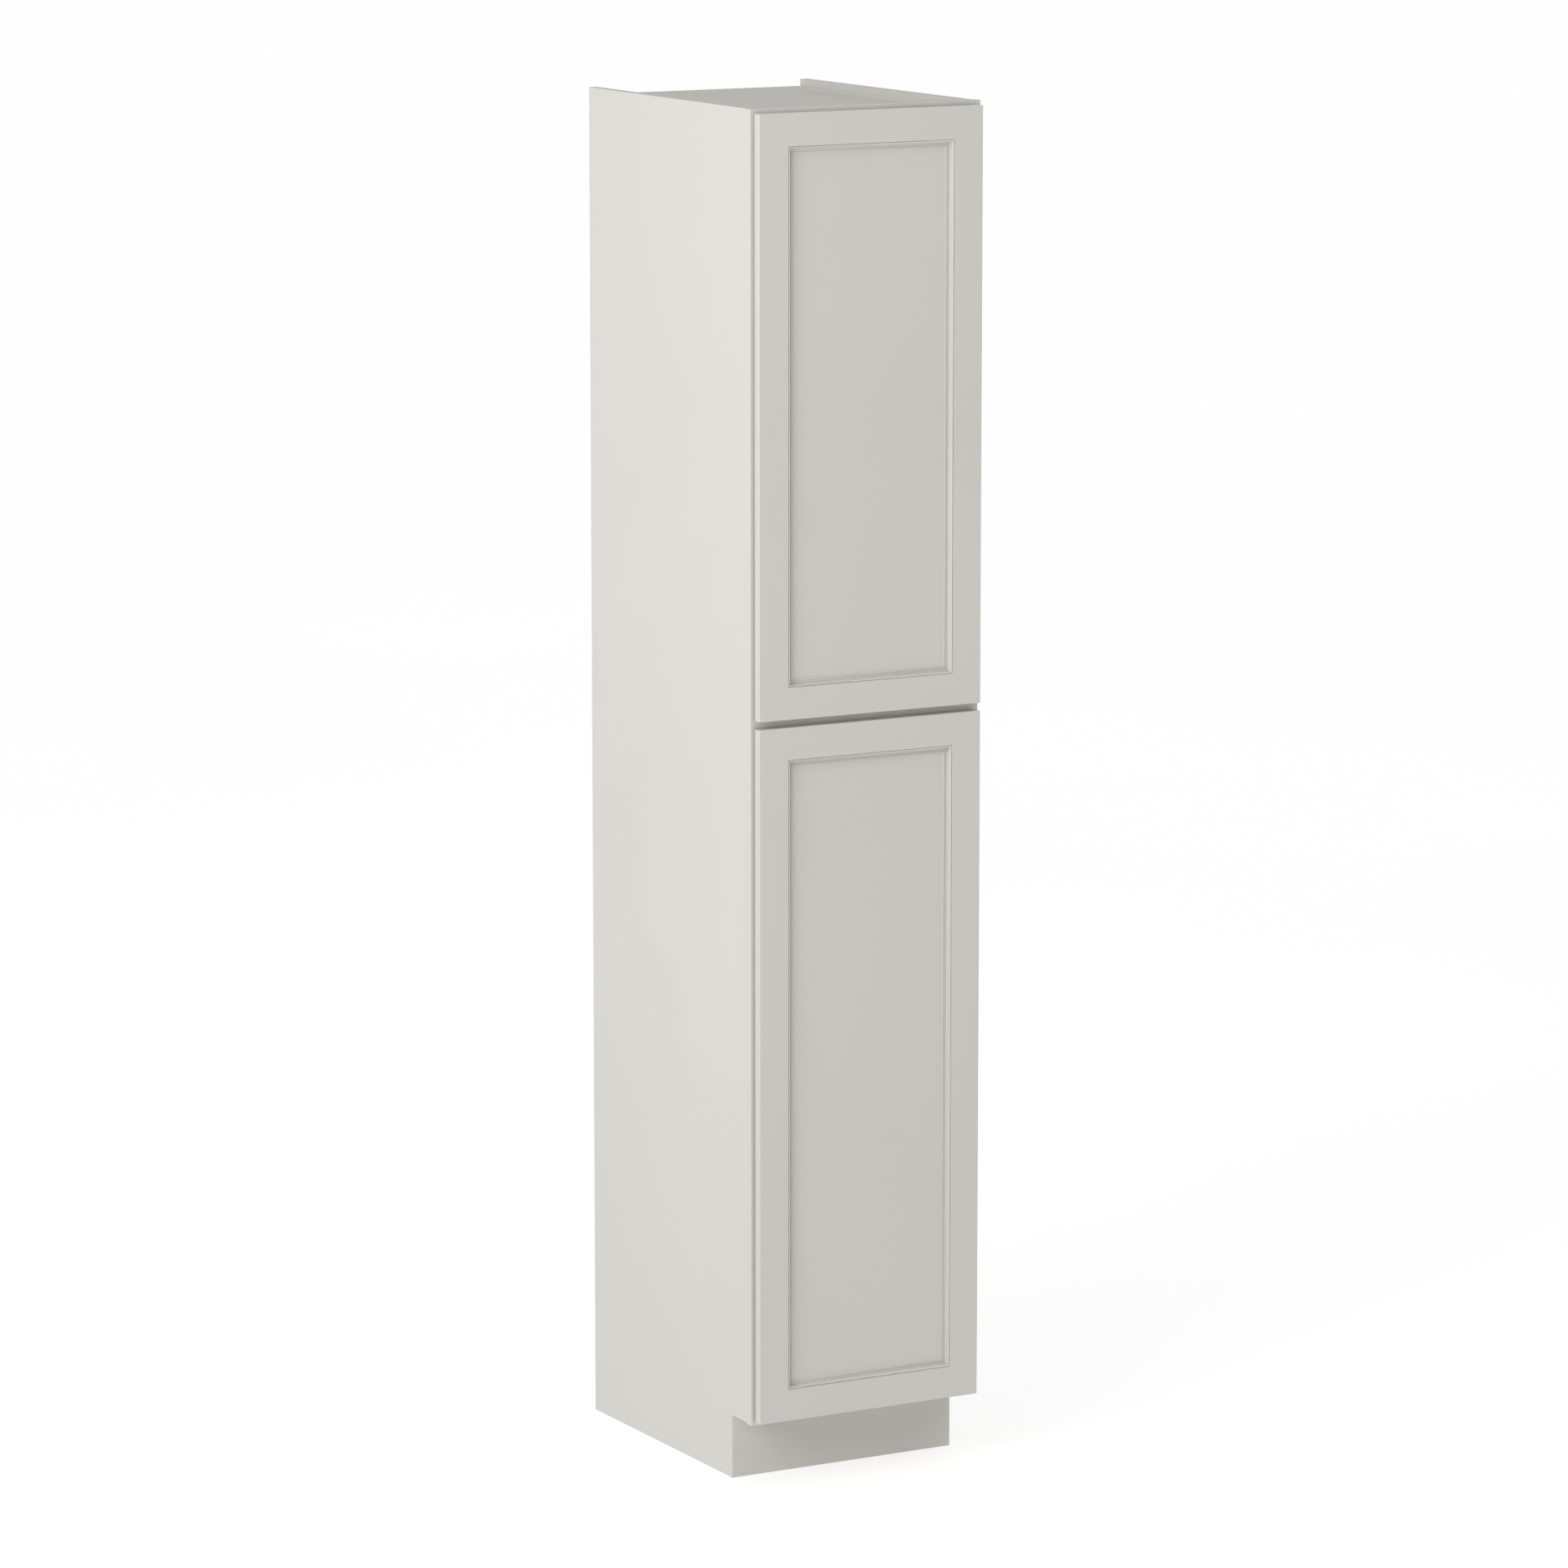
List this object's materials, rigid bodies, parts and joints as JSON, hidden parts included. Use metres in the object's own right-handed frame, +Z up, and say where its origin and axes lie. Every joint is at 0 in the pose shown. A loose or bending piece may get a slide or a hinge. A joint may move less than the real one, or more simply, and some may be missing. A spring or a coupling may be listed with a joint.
{
  "type": "pantry cabinet",
  "caption": "Tall narrow framed pantry cabinet with two recessed-panel overlay doors on concealed hinges, adjustable shelves and a toe kick.",
  "frame": {"origin": "centre of the footprint on the floor, midway between the door fronts and the rear and midway across the face frame", "axes": "+Z up, -Y towards the person at the doors, +X to that person's right, where the hinges are"},
  "size_m": [0.4572, 0.6302, 2.4384],
  "materials": {
    "painted_wood": "satin warm light grey paint",
    "maple_interior": "satin clear-coated maple veneer",
    "bare_wood": "unfinished plywood",
    "hinge_steel": "nickel plated",
    "screw_steel": "zinc plated",
    "block_plastic": "moulded nylon",
    "bumper_rubber": "clear soft bumper"
  },
  "bodies": {
    "cabinet": {"back_panel": "maple_interior", "bottom_hanging_rail": "bare_wood", "bottom_panel": "maple_interior", "frame_bottom_rail": "painted_wood", "frame_left_stile": "painted_wood", "frame_middle_rail": "painted_wood", "frame_right_stile": "painted_wood", "frame_top_rail": "painted_wood", "left_corner_block": "block_plastic", "left_side_panel": "painted_wood", "lower_door_hinge_arm_1": "hinge_steel", "lower_door_hinge_arm_2": "hinge_steel", "lower_door_hinge_arm_3": "hinge_steel", "lower_shelf_1": "maple_interior", "lower_shelf_2": "maple_interior", "lower_shelf_3": "maple_interior", "middle_hanging_rail": "bare_wood", "middle_shelf": "maple_interior", "right_corner_block": "block_plastic", "right_side_panel": "painted_wood", "toe_kick_board": "bare_wood", "toe_kick_skin": "painted_wood", "top_hanging_rail": "bare_wood", "top_panel": "painted_wood", "upper_door_hinge_arm_1": "hinge_steel", "upper_door_hinge_arm_2": "hinge_steel", "upper_door_hinge_arm_3": "hinge_steel", "upper_shelf_1": "maple_interior", "upper_shelf_2": "maple_interior"},
    "upper_door": {"upper_door_bottom_bead": "painted_wood", "upper_door_bottom_rail": "painted_wood", "upper_door_hinge_cup_1": "hinge_steel", "upper_door_hinge_cup_2": "hinge_steel", "upper_door_hinge_cup_3": "hinge_steel", "upper_door_hinge_pin_1": "hinge_steel", "upper_door_hinge_pin_2": "hinge_steel", "upper_door_hinge_pin_3": "hinge_steel", "upper_door_left_bead": "painted_wood", "upper_door_left_stile": "painted_wood", "upper_door_panel": "painted_wood", "upper_door_right_bead": "painted_wood", "upper_door_right_stile": "painted_wood", "upper_door_top_bead": "painted_wood", "upper_door_top_rail": "painted_wood"},
    "lower_door": {"lower_door_bottom_bead": "painted_wood", "lower_door_bottom_rail": "painted_wood", "lower_door_hinge_cup_1": "hinge_steel", "lower_door_hinge_cup_2": "hinge_steel", "lower_door_hinge_cup_3": "hinge_steel", "lower_door_hinge_pin_1": "hinge_steel", "lower_door_hinge_pin_2": "hinge_steel", "lower_door_hinge_pin_3": "hinge_steel", "lower_door_left_bead": "painted_wood", "lower_door_left_stile": "painted_wood", "lower_door_panel": "painted_wood", "lower_door_right_bead": "painted_wood", "lower_door_right_stile": "painted_wood", "lower_door_top_bead": "painted_wood", "lower_door_top_rail": "painted_wood"}
  },
  "joints": [
    {"name": "upper_door_hinge", "type": "hinge", "parent": "cabinet", "child": "upper_door", "pos_m": [0.2156, -0.30655, 1.905], "axis": [0, 0, 1], "range_deg": [0, 105]},
    {"name": "lower_door_hinge", "type": "hinge", "parent": "cabinet", "child": "lower_door", "pos_m": [0.2156, -0.30655, 0.74295], "axis": [0, 0, 1], "range_deg": [0, 105]}
  ]
}
